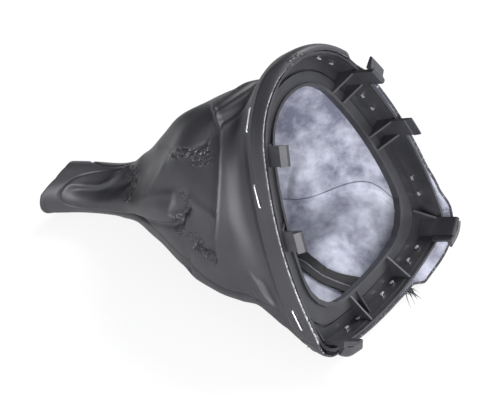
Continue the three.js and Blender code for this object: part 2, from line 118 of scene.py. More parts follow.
boot = dict(
    thickness=1.2,
    overWall=1.5,
    # behind the frame: x from the frame's middle, y, height of the middle above the table, half width,
    # half height, tilt in degrees, and how far the shield outline has become an ellipse
    sections=(
        (-33, -2.4, 67.6, 61.6, 55.1, 22, 0.15),
        (-55, -12.3, 60.4, 49.3, 54.7, 15, 0.4),
        (-77, -17.4, 51.7, 38.4, 49.1, 10, 0.7),
        (-100, -16.5, 40.5, 29.2, 34.6, 6, 0.9),
        (-120, -14.0, 27.6, 21.3, 22.0, 3, 1),
        (-140, -17.5, 18.6, 17.4, 15.9, 0, 1),
        (-170, -34.0, 17.5, 18.4, 15.0, 0, 1),
    ),
    rowStep=0.5,
    turnStep=0.5,
    # the sleeve's end is cut at a slant: from which run, and (turn, millimetres shorter) round it
    cutFrom=190.0,
    sleeveCut=((0, 2.0), (30, 1.5), (60, 1.8), (90, 4.1), (120, 4.0), (140, 1.8), (158, 0), (300, 0),
               (330, 1.6), (360, 2.0)),
)

# The leather over the wall, from its cut edge to the wall's back, as (inset, height over the rim) pairs at
# places along the rim: positive on the far side, negative on the near side, 0 at the middle of the nose
wallFoot = ((-0.9, -12.5), (1.0, -15.7))
wrapProfiles = {
    -234: ((-1.9, 0.3), (-2.0, -2.0), (-1.7, -4.5), (-1.4, -7.0), (-1.2, -9.3), (-0.9, -12.5), (1.1, -15.7)),
    -182: ((-1.9, 0.3), (-2.0, -2.0), (-1.7, -4.5), (-1.4, -7.0), (-1.2, -9.3), (-0.9, -12.5), (1.1, -15.7)),
    -170: ((-3.2, 0.2), (-3.0, -2.0), (-2.2, -4.5), (-1.6, -7.0), (-1.2, -9.3), (-0.9, -12.5), (1.1, -15.7)),
    -158: ((-1.6, 0.0), (-1.6, -2.0), (-1.5, -4.5), (-1.3, -7.0), (-1.2, -9.3), (-0.8, -12.5), (1.4, -15.7)),
    -100: ((-1.4, -0.6), (-1.6, -2.4), (-1.7, -5.0), (-1.6, -7.4), (-1.2, -9.5), (-0.6, -12.5), (1.6, -15.7)),
    -72: ((-1.3, -0.6), (-1.7, -2.6), (-2.0, -5.4), (-2.3, -7.6), (-1.5, -9.6), (-0.5, -12.5), (1.4, -15.7)),
    -40: ((-1.3, -0.6), (-1.9, -2.8), (-2.4, -5.6), (-2.9, -7.9), (-1.7, -9.8), (-0.5, -12.5), (1.2, -15.7)),
    -14: ((-1.4, 0.2), (-2.6, -1.8), (-3.6, -4.8), (-4.1, -7.4), (-3.2, -10.0), (-2.0, -12.8), (0.4, -15.7)),
    -2: ((-0.6, 1.5), (-2.3, 1.0), (-3.9, -1.2), (-4.2, -5.0), (-3.2, -9.5), (-2.0, -12.8), (0.4, -15.7)),
    20: ((-0.2, 1.3), (-1.6, 1.5), (-3.6, 0.0), (-4.0, -4.0), (-2.6, -9.0), (-1.4, -12.6), (0.6, -15.7)),
    44: ((-0.2, 1.3), (-1.4, 1.5), (-3.3, 0.2), (-3.5, -4.0), (-1.9, -9.0), (-1.1, -12.5), (0.8, -15.7)),
    53: ((-1.6, -1.2), (-2.0, -2.4), (-2.0, -4.4), (-1.8, -6.8), (-1.3, -9.3), *wallFoot),
    64: ((-2.3, 0.9), (-2.1, -1.6), (-2.0, -4.4), (-1.6, -6.8), (-1.2, -9.3), *wallFoot),
    132: ((-2.0, 0.6), (-1.9, -1.8), (-1.8, -4.4), (-1.4, -6.8), (-1.2, -9.3), *wallFoot),
    150: ((-3.8, 0.9), (-3.4, -1.6), (-3.0, -4.4), (-1.8, -6.8), (-1.2, -9.3), *wallFoot),
    166: ((-7.8, 0.9), (-6.6, -1.6), (-4.8, -4.2), (-2.8, -6.8), (-1.6, -9.3), *wallFoot),
    186: ((-9.4, 0.9), (-7.6, -1.6), (-5.0, -4.2), (-2.8, -6.8), (-1.2, -9.3), *wallFoot),
    206: ((-8.6, 0.6), (-6.8, -1.8), (-4.6, -4.2), (-2.6, -6.8), (-1.2, -9.3), *wallFoot),
    217: ((-3.0, -0.2), (-2.8, -2.2), (-2.2, -4.4), (-1.5, -6.8), (-1.2, -9.3), *wallFoot),
}


def wrapRows(run, length):
    # Rows of the leather over the wall as (inset, height) arrays at the given distances along the rim of
    # the given length, eased from one profile to the next
    places = np.array(sorted(wrapProfiles))
    profiles = np.array([wrapProfiles[place] for place in places])
    places = np.concatenate([places, [places[0] + length]])
    profiles = np.concatenate([profiles, profiles[:1]])
    at = np.where(run > length / 2, run - length, run)
    at = np.where(at < places[0], at + length, at)
    k = np.clip(np.searchsorted(places, at, side="right") - 1, 0, len(places) - 2)
    share = smoothStep(at, places[k], places[k + 1])[:, None, None]
    rows = profiles[k] * (1 - share) + profiles[k + 1] * share
    return rows.transpose(1, 2, 0)


def smoothStep(x, low, high):
    s = np.clip((x - low) / (high - low), 0, 1)
    return s * s * (3 - 2 * s)


def bootRings(turn):
    # Rings of the boot at the given angles: 0 is the far side, 90 the nose, 180 the near side
    points, outs, run = rimRing()
    over = boot["overWall"]
    outer = points + over * outs
    fromMiddle = (outer[:, 0] - rim["length"] / 2) / rim["length"]
    seen = np.degrees(np.arctan2(outer[:, 1] / rim["width"], fromMiddle))
    seen[len(seen) // 2 + 1 :] += 360
    want = (90 - turn) % 360
    ringU, ringV = (np.interp(want, seen, points[:, k]) for k in (0, 1))
    outU, outV = (np.interp(want, seen, outs[:, k]) for k in (0, 1))
    rows = wrapRows(np.interp(want, seen, run), run[-1])
    rings = [framePoint(ringU - inset * outU, ringV - inset * outV, height) for inset, height in rows]
    unitU = (ringU + over * outU - rim["length"] / 2) / (rim["length"] / 2 + over)
    unitV = (ringV + over * outV) / (rim["width"] / 2 + over)
    size = np.hypot(unitU, unitV)
    for x, y, z, halfWidth, halfHeight, tilt, ovalShare in boot["sections"]:
        blend = 1 - ovalShare + ovalShare / size
        lean = math.radians(tilt)
        along = (unitU * blend * halfHeight)[:, None] * np.array([-math.sin(lean), 0, math.cos(lean)])
        across = (unitV * blend * halfWidth)[:, None] * np.array([0, 1.0, 0])
        rings.append(np.array([x + rim["middle"][0], y, z]) + along + across)
    return np.array(rings)


def throughRings(rings, knots, at):
    # Smooth curves through matching points of the rings: cubic pieces whose slopes are means of the chords
    # on both sides, weighted by the knot gaps
    gaps = np.diff(knots)[:, None, None]
    chords = np.diff(rings, axis=0) / gaps
    inner = (chords[:-1] * gaps[1:] + chords[1:] * gaps[:-1]) / (gaps[1:] + gaps[:-1])
    slopes = np.concatenate([chords[:1], inner, chords[-1:]])
    k = np.clip(np.searchsorted(knots, at, side="right") - 1, 0, len(knots) - 2)
    h = (knots[k + 1] - knots[k])[:, None, None]
    s = (at - knots[k])[:, None, None] / h
    return (
        (2 * s**3 - 3 * s**2 + 1) * rings[k]
        + (s**3 - 2 * s**2 + s) * h * slopes[k]
        + (3 * s**2 - 2 * s**3) * rings[k + 1]
        + (s**3 - s**2) * h * slopes[k + 1]
    )


turns = np.arange(0, 360, boot["turnStep"])
rings = bootRings(turns)
knots = np.concatenate([[0], np.cumsum(np.linalg.norm(np.diff(rings, axis=0), axis=2).mean(1))])
runs = np.arange(0, knots[-1], boot["rowStep"])
skin = throughRings(rings, knots, runs)
sleeveCut = np.interp(turns, *np.array(boot["sleeveCut"]).T)
pulled = np.clip(runs - boot["cutFrom"], 0, None)[:, None] * (sleeveCut / (runs[-1] - boot["cutFrom"]))
print("boot surface made")


def skinNormals(grid):
    # Outward unit normals of a grid that closes on itself round the boot, from its differences both ways
    across = np.roll(grid, -1, 1) - np.roll(grid, 1, 1)
    normal = np.cross(np.gradient(grid, axis=0), across)
    return normal / np.linalg.norm(normal, axis=2, keepdims=True)


def ripples(points, size, seed, waves=28):
    # Smooth random field of about unit size: a sum of sine waves in random directions
    dice = np.random.default_rng(seed)
    ways = dice.normal(size=(waves, 3))
    ways *= (dice.uniform(0.7, 1.4, waves) * 2 * math.pi / size / np.linalg.norm(ways, axis=1))[:, None]
    phase = dice.uniform(0, 2 * math.pi, waves)
    total = np.zeros(points.shape[:-1])
    for way, shift in zip(ways, phase):
        total += np.sin(points @ way + shift)
    return total / math.sqrt(waves / 2)


runGrid, turnGrid = np.meshgrid(runs, turns, indexing="ij")
perDegree = np.linalg.norm(np.roll(skin, -1, 1) - np.roll(skin, 1, 1), axis=2) / (2 * boot["turnStep"])


def lineDistance(line):
    # Distance in millimetres of every skin point from a line given as (run, turn) points, how far along the
    # line its nearest point is (0 to 1), and on which side it lies
    line = np.asarray(line, float)
    near = np.full(runGrid.shape, 1e9)
    along = np.zeros(runGrid.shape)
    side = np.zeros(runGrid.shape)
    spans = len(line) - 1
    for k in range(spans):
        ax = runGrid - line[k, 0]
        ay = (turnGrid - line[k, 1] + 180) % 360 - 180
        ay = ay * perDegree
        bx = line[k + 1, 0] - line[k, 0]
        by = (line[k + 1, 1] - line[k, 1]) * perDegree
        share = np.clip((ax * bx + ay * by) / (bx * bx + by * by), 0, 1)
        far = np.hypot(ax - share * bx, ay - share * by)
        closer = far < near
        near = np.where(closer, far, near)
        along = np.where(closer, (k + share) / spans, along)
        side = np.where(closer, np.sign(ax * by - ay * bx), side)
    return near, along, side


def skinAt(grid, run, turn):
    # Points of a skin grid at any run and turn, by linear steps between its rows and columns
    r = np.clip(run / boot["rowStep"], 0, len(runs) - 1.001)
    c = (turn / boot["turnStep"]) % len(turns)
    i, j = np.floor(r).astype(int), np.floor(c).astype(int)
    fr, fc = (r - i)[..., None], (c - j)[..., None]
    j2 = (j + 1) % len(turns)
    top = grid[i, j] * (1 - fc) + grid[i, j2] * fc
    low = grid[i + 1, j] * (1 - fc) + grid[i + 1, j2] * fc
    return top * (1 - fr) + low * fr


# Middle stretch of the main fold, which two ridges and a fall follow
mainFold = (
    (57, 114.5), (51, 120.5), (46.5, 130), (45.5, 141), (46, 149.5), (47, 159), (49, 171.5), (53, 184.5),
)

# Folds of the leather along (run, turn) lines, with the shares of a line over which its ends fade
# Ridges: height above the skin, negative for creases, and width. Falls: height, reach within which they
# drop beyond the line, and back, over which they rise again
folds = dict(
    softReach=14,
    ridges=(
        # main fold with its fine light edge, and the slack it pulls up in front of itself
        (((81, 88.5), (63.5, 107), *mainFold, (55, 191), (57, 199.5)), 1.0, 1.15, (0.1, 0.04)),
        (((66, 103), *mainFold, (56, 195)), 1.7, 7.0, (0.1, 0.15)),
        # fullness of the cone's top and of the lower edge, and where both fall in
        (((164, 93), (150, 97), (138, 101), (128, 102), (116, 101), (102, 97), (90, 93), (80, 91)),
         3.3, 7.0, (0.2, 0.35)),
        (((168, 130), (142, 127), (114, 125), (88, 121)), -2.4, 15.0, (0.35, 0.35)),
        (((96, 221), (82, 221.5), (66, 222), (56, 222), (48, 221), (38, 220)), 2.4, 8.0, (0.2, 0.25)),
        (((30, 224), (22, 222), (14, 220), (5, 220)), -2.0, 6.0, (0.3, 0.3)),
        (((204, 206), (186, 210), (168, 212), (156, 214)), -1.3, 8.0, (0.02, 0.3)),
        (((66, 70), (62, 72), (54, 74)), 1.4, 8.0, (0.3, 0.3)),
        # two dimples below the top, and the light ridges that fan out beside them
        (((68, 105), (63, 100.5), (59, 92.5), (56, 83), (54, 70)), -1.1, 2.8, (0.15, 0.3)),
        (((56, 114), (52, 110.5), (47, 105.5), (40, 100)), -1.2, 2.8, (0.15, 0.3)),
        (((57, 114.5), (63, 106), (58.5, 101), (52, 93.5), (51, 78.5)), 0.6, 1.8, (0.05, 0.3)),
        (((52, 118), (47, 113.5), (42, 110), (30, 110), (18, 113)), 0.7, 2.2, (0.05, 0.3)),
        # leather drawn in by the near staples
        (((13, 117.5), (14.8, 128)), -0.5, 2.4, (0, 0)),
        (((10.5, 151), (8, 161)), -0.5, 2.4, (0, 0)),
        (((8.6, 205), (7.5, 212)), -0.5, 2.4, (0, 0)),
        # shallow bend down the skirt
        (((18, 122), (24, 139.5), (28.5, 153), (31.5, 169), (32, 185)), -0.8, 8.0, (0.25, 0.35)),
        # fold over the sleeve
        (((196, 129.5), (186, 133), (175, 134.5), (168, 128.5), (164, 118.5), (161, 105), (160, 92.5)),
         1.6, 2.0, (0.15, 0.1)),
        (((194, 138), (185, 141), (173.5, 145.5), (163.5, 146), (154.5, 139), (147, 124)),
         -2.6, 4.8, (0.2, 0.25)),
        # lobe under it, and the crease that bounds it below
        (((192, 150), (174, 165), (150, 173), (121, 172), (102, 171.5), (88, 173)), 3.8, 9.0, (0.3, 0.05)),
        (((152, 189), (135.5, 192), (118.5, 189.5), (104, 184.5), (92, 182.5), (83, 180)),
         -2.2, 2.4, (0.2, 0.06)),
        (((133, 166), (113.5, 162), (97, 160), (86, 160)), 0.6, 2.6, (0.3, 0.2)),
        # pocket where the lobe ends
        (((88.5, 178), (83, 172.5), (79, 166.5)), -3.2, 3.6, (0.05, 0.05)),
        # light slope right of the pocket, oval pocket, short valley to the lower edge
        (((78.5, 160), (70, 166.5), (60, 171.5), (52, 176)), 0.9, 3.0, (0.1, 0.2)),
        (((77, 192), (69, 194), (62, 197), (58.5, 199)), -2.4, 4.2, (0.05, 0.02)),
        (((77.5, 189), (81.5, 197.5), (87, 209), (88, 219)), -1.6, 3.0, (0.05, 0.05)),
        # creases in the cone
        (((124, 110), (109, 118), (96, 127), (83, 129.5), (74, 128.5), (66, 124)), -0.5, 1.0, (0.1, 0.05)),
        (((65, 129), (64, 122)), 0.5, 0.5, (0.1, 0.1)),
        (((101, 134), (106.5, 144.5), (110.5, 153.5), (116, 160)), 0.7, 3.6, (0.2, 0.2)),
        (((142, 145), (141.5, 156), (141.5, 168)), 0.45, 0.6, (0.1, 0.1)),
        # lower edge: a highlight ridge at the corner with hollows on both sides
        (((37, 197), (33.5, 202), (32.5, 206), (31, 208), (27, 210)), 0.7, 1.9, (0.2, 0.1)),
        (((38.5, 198), (39, 206), (39.5, 211.5), (38, 216)), -0.5, 2.4, (0.2, 0.1)),
        (((28.5, 197), (27, 203.5), (25.5, 208)), -0.8, 2.4, (0.2, 0.1)),
    ),
    falls=(
        # a soft fall on the far side, then the main fold's slope down to the cone
        (((69, 352), (71.5, 342), (74, 335.5), (76, 327), (76.5, 318.5), (73.5, 308)),
         4.0, 4.0, 26.0, (0.45, 0.45)),
        (((84, 84), (63.5, 107), *mainFold, (55, 191), (57, 202)), 5.6, 3.0, 72.0, (0.22, 0.12)),
    ),
)


def taper(along, ends):
    # 1 along a line, easing to 0 over the given shares of it at its start and end
    head = smoothStep(along, -1e-6, max(ends[0], 1e-3))
    return head * smoothStep(1 - along, -1e-6, max(ends[1], 1e-3))


def soften(field, reach):
    # Mean of a field over a window of cosine weights, reach rows and columns to each side
    weight = np.hanning(2 * reach + 3)[1:-1]
    weight /= weight.sum()
    for axis in (0, 1):
        field = sum(w * np.roll(field, k - reach, axis) for k, w in enumerate(weight))
    return field


def foldField():
    # Height of the folds over the smooth skin: a ridge is h exp(-(d/w)^2), a fall is
    # -h S(d/reach) (1 - S(d/back)) on one side of its line, softened away from it
    field = np.zeros(runGrid.shape)
    for line, height, width, ends in folds["ridges"]:
        near, along, _ = lineDistance(line)
        field += height * np.exp(-((near / width) ** 2)) * taper(along, ends)
    for line, height, reach, back, ends in folds["falls"]:
        near, along, side = lineDistance(line)
        share = smoothStep(near, 0, reach) * (1 - smoothStep(near, reach, back))
        drop = height * share * (side > 0) * taper(along, ends)
        away = smoothStep(near, reach, 4 * reach) + (side < 0)
        softer = soften(drop, folds["softReach"])
        field -= drop + (softer - drop) * np.clip(away, 0, 1) * (side > 0)
    return field


# Seams between the panels, as turns round the boot: the near panel ends in a round tip on the sleeve
seams = dict(
    nearLower=(
        (0, 217), (9.5, 216.5), (18, 215), (23, 210), (27, 210), (39, 216), (56, 217), (70, 215.5), (87, 209),
        (104, 200), (118, 195), (135, 193), (150, 191), (164, 194), (173, 197), (206, 197),
    ),
    farLower=319.0,
    sleeve=99.0,
    neck=62.0,
    rim=50.0,
    sleeveStart=160.0,
    crossing=26.0,
    tipRun=195.5,
    shoulderRun=176.0,
    grooveDepth=0.75,
    grooveWidth=0.75,
    grooveFrom=(3, 10),
)


def upperSeam(run):
    # Turn of the seam over the top: it drifts from the rim to the neck, then crosses to the sleeve's seam
    cone = seams["rim"] + (seams["neck"] - seams["rim"]) * np.clip(run / seams["sleeveStart"], 0, 1)
    start = seams["sleeveStart"]
    return cone + (seams["sleeve"] - cone) * smoothStep(run, start - seams["crossing"], start + 2)


def panelEdges(run, side):
    # Turns of both edges of a side panel, drawn in to its middle as a quarter ellipse towards the tip
    upper = upperSeam(run) if side < 0 else np.minimum(upperSeam(run), 180 - seams["sleeve"])
    nearLower = np.interp(run, *np.array(seams["nearLower"], float).T)
    lower = nearLower if side < 0 else np.full_like(run, seams["farLower"] - 360)
    middle = (upper + lower) / 2
    reach = np.clip((run - seams["shoulderRun"]) / (seams["tipRun"] - seams["shoulderRun"]), 0, 1)
    share = np.sqrt(1 - reach**2)
    return middle + (upper - middle) * share, middle + (lower - middle) * share


def seamLines():
    # The seams as closed (run, turn) lines, one for each side panel
    start = seams["shoulderRun"]
    bend = start + (seams["tipRun"] - start) * np.sin(np.linspace(0, math.pi / 2, 12))
    run = np.concatenate([np.arange(0, start, 8.0), bend])
    lines = []
    for side in (-1, 1):
        upper, lower = panelEdges(run, side)
        lines.append(np.stack([np.concatenate([run, run[::-1]]), np.concatenate([upper, lower[::-1]])], 1))
    return lines


# Patches of fine wrinkles: a (run, turn) line, how far they reach, and their height
wrinkles = dict(
    patches=(
        (((155, 104), (152, 120), (150, 136), (143, 147), (141.5, 164)), 6.0, 0.20),
        (((96.5, 131), (84, 131.5), (74, 131.5), (64, 130)), 4.5, 0.22),
        (((74, 138), (66, 138), (58, 136)), 4.0, 0.08),
        (((88, 178), (82, 172.5), (78, 165), (82, 160)), 5.0, 0.26),
        (((88, 187), (80.5, 188), (74, 189)), 4.5, 0.20),
        (((76, 193), (69, 195), (60, 198)), 6.0, 0.26),
        (((1, 83), (1.5, 91)), 3.4, 0.4),
    ),
    size=2.9,
    seed=11,
    waves=60,
    slack=0.22,
    slackSize=34.0,
    slackSeed=5,
    slackFrom=(14, 34),
)


def wrinkleShare():
    # How wrinkled the leather is at each skin point, 0 to 1, and the wrinkles' height there
    share, height = np.zeros(runGrid.shape), np.zeros(runGrid.shape)
    for line, reach, tall in wrinkles["patches"]:
        near, _, _ = lineDistance(line)
        here = 1 - smoothStep(near, 0.35 * reach, reach)
        share = np.maximum(share, here)
        height = np.maximum(height, here * tall)
    return share, height


# Near staples' crowns, as (run, turn) of both ends: their wire shows on the leather
nearCrowns = {
    "near_staple_1": ((13.0, 117.5), (14.8, 128.0)),
    "near_staple_2": ((10.5, 151.0), (8.0, 161.0)),
    "near_staple_3": ((8.6, 205.0), (7.5, 212.0)),
}

# How the leather gives way under a crown: how far the wire stands out, half its length, the fades past its
# ends and across it, and the most that the leather may move or be away, all in millimetres
dents = dict(sink=0.5, halfLength=6.6, fade=4.0, across=3.4, deepest=3, search=6)


def stapleDents(grid):
    # Pushes the leather in under the crown of each staple that is shown as the CAD has it
    grid = grid.copy()
    up, sideways, height = frameAxes()
    for name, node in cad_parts.items():
        if "staple" not in name or name in nearCrowns:
            continue
        corners = np.empty(len(node.data.vertices) * 3, np.float32)
        node.data.vertices.foreach_get("co", corners)
        corners = corners.reshape(-1, 3).astype(float) / mm
        middle = corners.mean(0)
        centre = np.array(rim["middle"])
        radial = (middle - centre) @ up * up + np.array([0, middle[1] - centre[1], 0])
        spread = corners - middle
        spread = spread @ up[:, None] * up + spread * sideways
        _, _, axes = np.linalg.svd(spread, full_matrices=False)
        along = axes[0]
        out = np.cross(along, height)
        out *= np.sign(out @ radial)
        crown = (corners @ out).max()
        gap = grid - middle
        over = grid @ out - (crown - dents["sink"])
        reach = np.abs(gap @ along) - dents["halfLength"]
        across = gap @ height - (corners @ height).mean() + middle @ height
        share = np.exp(-((across / dents["across"]) ** 2)) * (1 - smoothStep(reach, 0, dents["fade"]))
        push = np.clip(over, 0, dents["deepest"]) * share * (np.abs(over) < dents["search"])
        grid -= push[..., None] * out
    return grid


skin = skinAt(skin, runGrid - pulled, turnGrid)
skinOut = skinNormals(skin)
creased, creaseHeight = wrinkleShare()
slack = wrinkles["slack"] * ripples(skin, wrinkles["slackSize"], wrinkles["slackSeed"])
slack *= smoothStep(runGrid, *wrinkles["slackFrom"])
fine = creaseHeight * ripples(skin, wrinkles["size"], wrinkles["seed"], wrinkles["waves"])
seamGap = np.min([lineDistance(line)[0] for line in seamLines()], axis=0)
groove = seams["grooveDepth"] * np.exp(-((seamGap / seams["grooveWidth"]) ** 2))
groove *= smoothStep(runGrid, *seams["grooveFrom"])
skin = skin + (foldField() + slack + fine - groove)[..., None] * skinOut
skin = stapleDents(skin)
print("folds made")


def makeMesh(name, points, faces, material=None, smooth=True):
    # Mesh object at the origin from points in millimetres and an array of faces with equal corner counts
    faces = np.asarray(faces, np.int32)
    corners = faces.shape[1]
    mesh = bpy.data.meshes.new(name)
    mesh.vertices.add(len(points))
    mesh.vertices.foreach_set("co", (np.asarray(points, float) * mm).astype(np.float32).ravel())
    mesh.loops.add(faces.size)
    mesh.loops.foreach_set("vertex_index", faces.ravel())
    mesh.polygons.add(len(faces))
    mesh.polygons.foreach_set("loop_start", np.arange(0, faces.size, corners, dtype=np.int32))
    mesh.polygons.foreach_set("use_smooth", np.full(len(faces), smooth))
    mesh.update(calc_edges=True)
    mesh.validate()
    piece = bpy.data.objects.new(name, mesh)
    bpy.context.scene.collection.objects.link(piece)
    if material:
        mesh.materials.append(material)
    return piece


def gridFaces(rows, columns, closedColumns=False, start=0):
    # Quads of a grid of points stored row by row, wrapped round where its columns close
    i = np.arange(rows - 1)[:, None]
    j = np.arange(columns if closedColumns else columns - 1)[None, :]
    i2, j2 = i + 1, (j + 1) % columns
    corners = (i * columns + j, i * columns + j2, i2 * columns + j2, i2 * columns + j)
    return np.stack(np.broadcast_arrays(*corners), -1).reshape(-1, 4) + start


def shadeSmooth(mesh):
    mesh.polygons.foreach_set("use_smooth", np.full(len(mesh.polygons), True))


def tidyMesh(piece):
    # Merges doubled points, which closes seams and poles
    work = bmesh.new()
    work.from_mesh(piece.data)
    bmesh.ops.remove_doubles(work, verts=work.verts, dist=0.02 * mm)
    bmesh.ops.dissolve_degenerate(work, dist=0.005 * mm, edges=work.edges)
    work.to_mesh(piece.data)
    work.free()
    shadeSmooth(piece.data)


def newMaterial(name):
    material = bpy.data.materials.new(name)
    material.use_nodes = True
    nodes = material.node_tree.nodes
    return material, nodes, material.node_tree.links, nodes["Principled BSDF"]


def addNode(nodes, kind, settings=(), **values):
    # A node with its options and the values of its named inputs
    node = nodes.new(kind)
    for key, value in dict(settings).items():
        setattr(node, key, value)
    for key, value in values.items():
        node.inputs[key].default_value = value
    return node


def rampNode(nodes, stops):
    node = nodes.new("ShaderNodeValToRGB")
    ramp = node.color_ramp
    while len(ramp.elements) < len(stops):
        ramp.elements.new(0.5)
    for element, (place, colour) in zip(ramp.elements, stops):
        element.position = place
        element.color = (*colour, 1)
    return node


def mathNode(nodes, links, operation, *terms):
    # Output of a Math node fed with sockets or numbers, in order
    node = addNode(nodes, "ShaderNodeMath", dict(operation=operation))
    for place, term in zip(node.inputs, terms):
        if isinstance(term, bpy.types.NodeSocket):
            links.new(term, place)
        else:
            place.default_value = term
    return node.outputs["Value"]


def noiseNode(nodes, links, scale, detail=2.0, roughness=0.5, output="Fac"):
    # Output of noise on Object coordinates
    place = nodes.new("ShaderNodeTexCoord")
    noise = addNode(nodes, "ShaderNodeTexNoise", Scale=scale, Detail=detail, Roughness=roughness)
    links.new(place.outputs["Object"], noise.inputs["Vector"])
    return noise.outputs[output]


def colourBy(nodes, links, shader, factor, stops):
    # Base colour from a ramp of (place, colour) stops over a factor
    colour = rampNode(nodes, stops)
    links.new(factor, colour.inputs["Fac"])
    links.new(colour.outputs["Color"], shader.inputs["Base Color"])


def bumpBy(nodes, links, shader, height, strength, distance):
    bump = addNode(nodes, "ShaderNodeBump", Strength=strength, Distance=distance)
    links.new(height, bump.inputs["Height"])
    links.new(bump.outputs["Normal"], shader.inputs["Normal"])
    return bump


def mapRange(nodes, limits):
    # A Map Range node from its four limits: from low, from high, to low, to high
    node = nodes.new("ShaderNodeMapRange")
    for key, value in zip(("From Min", "From Max", "To Min", "To Max"), limits):
        node.inputs[key].default_value = value
    return node


leatherLook = dict(
    dark=(0.019, 0.019, 0.022),
    light=(0.027, 0.027, 0.031),
    cloudSize=45.0,
    roughness=0.5,
    wornRoughness=0.3,
    grainSize=1500,
    poreSize=3500.0,
    poreShare=0.35,
    grainHeight=0.00008,
    creaseSize=420.0,
    creaseBorder=0.22,
    creaseHeight=0.00022,
    warpSize=300.0,
    warpReach=0.004,
)


def leatherMaterial():
    look = leatherLook
    material, nodes, links, shader = newMaterial("leatherette")
    place = nodes.new("ShaderNodeTexCoord").outputs["Object"]
    cloudy = noiseNode(nodes, links, look["cloudSize"], 3.0)
    colourBy(nodes, links, shader, cloudy, [(0.3, look["dark"]), (0.7, look["light"])])
    # grain: rounded cells with fine pores on them
    grain = addNode(nodes, "ShaderNodeTexVoronoi", dict(feature="SMOOTH_F1"), Scale=look["grainSize"])
    links.new(place, grain.inputs["Vector"])
    pores = noiseNode(nodes, links, look["poreSize"])
    height = mathNode(nodes, links, "MULTIPLY_ADD", pores, look["poreShare"], grain.outputs["Distance"])
    bump = bumpBy(nodes, links, shader, height, 0.5, look["grainHeight"])
    # creases: cell borders where the skin is wrinkled, polished by wear
    worn = addNode(nodes, "ShaderNodeAttribute", dict(attribute_name="creased")).outputs["Fac"]
    cells = addNode(nodes, "ShaderNodeTexVoronoi", dict(feature="DISTANCE_TO_EDGE"), Scale=look["creaseSize"])
    warp = noiseNode(nodes, links, look["warpSize"], output="Color")
    shifted = addNode(nodes, "ShaderNodeVectorMath", dict(operation="MULTIPLY_ADD"))
    shifted.inputs[1].default_value = (look["warpReach"],) * 3
    links.new(warp, shifted.inputs[0])
    links.new(place, shifted.inputs[2])
    links.new(shifted.outputs["Vector"], cells.inputs["Vector"])
    border = rampNode(nodes, [(0.0, (0, 0, 0)), (look["creaseBorder"], (1, 1, 1))])
    links.new(cells.outputs["Distance"], border.inputs["Fac"])
    depth = mathNode(nodes, links, "MULTIPLY", border.outputs["Color"], worn)
    crease = bumpBy(nodes, links, shader, depth, 1.0, look["creaseHeight"])
    links.new(bump.outputs["Normal"], crease.inputs["Normal"])
    shine = mapRange(nodes, (0.0, 1.0, look["roughness"], look["wornRoughness"]))
    links.new(worn, shine.inputs["Value"])
    links.new(shine.outputs["Result"], shader.inputs["Roughness"])
    return material


liningLook = dict(
    # The ramp runs from a painted shade (dark), which the lining takes high inside the boot, to its own pale
    # colour (light)
    dark=(0.12, 0.125, 0.17),
    light=(0.62, 0.63, 0.72),
    # Painted light and shade by height: heights over the table in metres and the shares there, paler low down
    # and darker high up
    paintedLightByHeight=(0.02, 0.20, 0.10, -0.24),
    cloudSize=70.0,
    cloud=0.75,
    fibreSize=1400.0,
    fibreHeight=0.0001,
    roughness=0.9,
)


def liningMaterial():
    look = liningLook
    material, nodes, links, shader = newMaterial("fabricBacking")
    # patches of nap: cloud times noise, plus painted light and shade: a share that falls with height over the
    # table, so the lining is painted paler low down and darker high up
    where = nodes.new("ShaderNodeSeparateXYZ")
    links.new(nodes.new("ShaderNodeTexCoord").outputs["Object"], where.inputs["Vector"])
    paintedLightByHeight = mapRange(nodes, look["paintedLightByHeight"])
    links.new(where.outputs["Z"], paintedLightByHeight.inputs["Value"])
    cloudy = noiseNode(nodes, links, look["cloudSize"], 4.0, 0.6)
    cloud = mathNode(nodes, links, "MULTIPLY_ADD", cloudy, look["cloud"], paintedLightByHeight.outputs["Result"])
    colourBy(nodes, links, shader, cloud, [(0.3, look["dark"]), (0.7, look["light"])])
    fibre = noiseNode(nodes, links, look["fibreSize"], 3.0)
    bumpBy(nodes, links, shader, fibre, 0.6, look["fibreHeight"])
    shader.inputs["Roughness"].default_value = look["roughness"]
    return material


edgeLook = dict(thread=(0.42, 0.42, 0.44), size=900.0, roughness=0.8)


def edgeMaterial(name, low, high):
    # The sheet's raw edge: leather, with threads of the backing where the noise is above low to high
    material, nodes, links, shader = newMaterial(name)
    fray = noiseNode(nodes, links, edgeLook["size"], 3.0)
    stops = [(low, leatherLook["light"]), (high, edgeLook["thread"])]
    colourBy(nodes, links, shader, fray, stops)
    shader.inputs["Roughness"].default_value = edgeLook["roughness"]
    return material


plasticLook = dict(
    dark=(0.018, 0.018, 0.021),
    light=(0.030, 0.030, 0.034),
    cloudSize=60.0,
    grainSize=1200.0,
    grainHeight=0.00005,
    roughness=0.4,
)


def plasticMaterial():
    look = plasticLook
    material, nodes, links, shader = newMaterial("mouldedPlastic")
    cloudy = noiseNode(nodes, links, look["cloudSize"], 4.0)
    colourBy(nodes, links, shader, cloudy, [(0.35, look["dark"]), (0.65, look["light"])])
    fine = noiseNode(nodes, links, look["grainSize"], 3.0)
    bumpBy(nodes, links, shader, fine, 0.25, look["grainHeight"])
    shader.inputs["Roughness"].default_value = look["roughness"]
    return material


steelLook = dict(dark=(0.62, 0.63, 0.66), light=(0.88, 0.89, 0.9), size=700.0, metallic=0.85, roughness=0.35)


def steelMaterial():
    look = steelLook
    material, nodes, links, shader = newMaterial("stapleSteel")
    worn = noiseNode(nodes, links, look["size"])
    colourBy(nodes, links, shader, worn, [(0.3, look["dark"]), (0.6, look["light"])])
    shader.inputs["Metallic"].default_value = look["metallic"]
    shader.inputs["Roughness"].default_value = look["roughness"]
    return material


fibreLook = dict(size=1500.0, height=0.0001)


